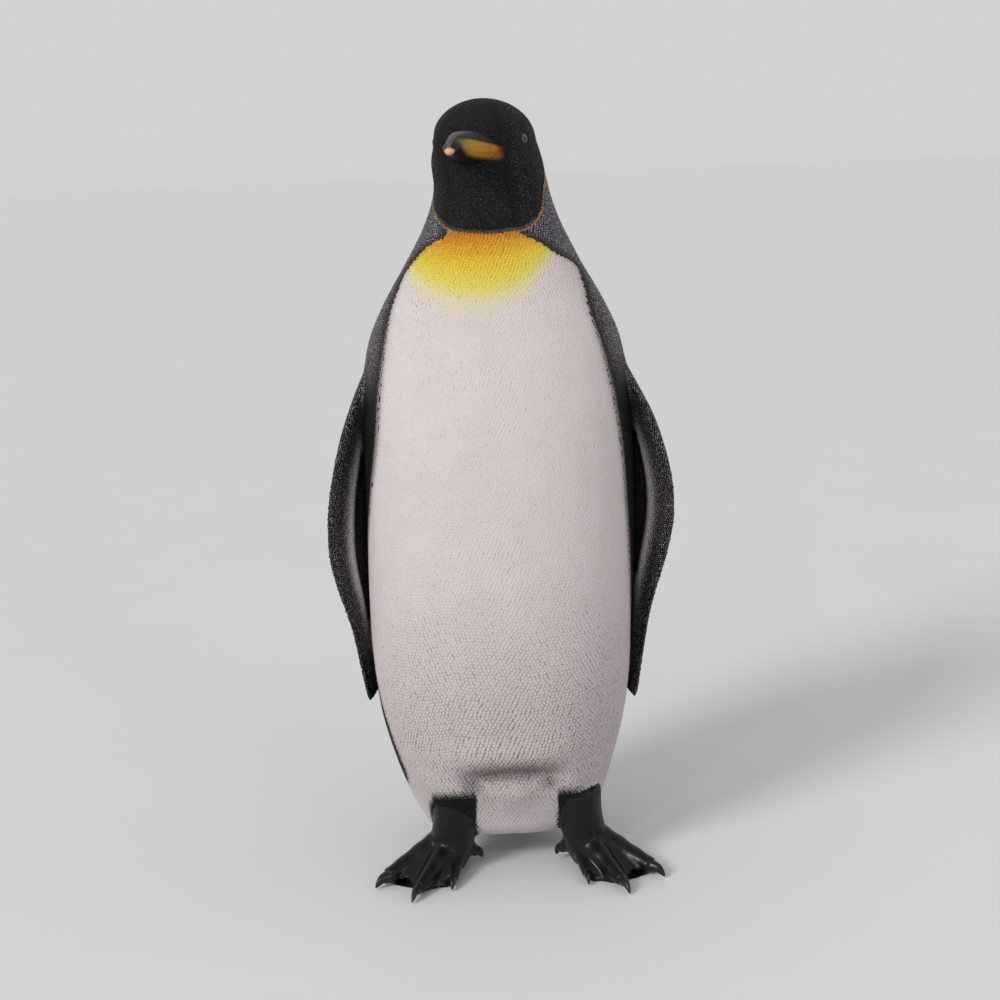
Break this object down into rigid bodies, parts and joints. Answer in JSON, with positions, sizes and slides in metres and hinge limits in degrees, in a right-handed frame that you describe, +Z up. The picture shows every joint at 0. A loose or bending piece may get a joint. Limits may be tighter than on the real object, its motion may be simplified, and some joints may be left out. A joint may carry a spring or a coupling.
{
  "type": "king penguin statue",
  "caption": "Life-size painted resin figure of a standing king penguin, still, with beaded plumage relief, resting on two webbed feet and its tail",
  "frame": {"origin": "middle of the bounding box's bottom, on the floor that the figure stands on", "axes": "+Z up, the bird faces -Y, its own left side is +X"},
  "size_m": [0.4002, 0.3196, 0.903],
  "materials": {
    "white_paint": "airbrushed off-white paint over a beaded resin relief, satin",
    "grey_paint": "airbrushed blue-grey paint over a pebbled resin relief, satin",
    "black_paint": "airbrushed black paint over fine pebbled relief, satin",
    "gloss_black": "smooth black gloss enamel on the feet, claws and bill",
    "bill_plate": "airbrushed orange to olive plate on black, satin gloss",
    "eye_glass": "dark brown cast resin eye, high gloss"
  },
  "bodies": {
    "root": {"trunk": "white_paint", "neck": "grey_paint", "head": "black_paint", "tail": "black_paint", "bill_upper": "gloss_black", "bill_lower": "bill_plate", "eye_left": "eye_glass", "wing_left": "black_paint", "leg_left": "gloss_black", "foot_left": "gloss_black", "claw_outer_left": "gloss_black", "claw_middle_left": "gloss_black", "claw_inner_left": "gloss_black", "claw_hind_left": "gloss_black", "eye_right": "eye_glass", "wing_right": "black_paint", "leg_right": "gloss_black", "foot_right": "gloss_black", "claw_outer_right": "gloss_black", "claw_middle_right": "gloss_black", "claw_inner_right": "gloss_black", "claw_hind_right": "gloss_black"}
  },
  "joints": []
}
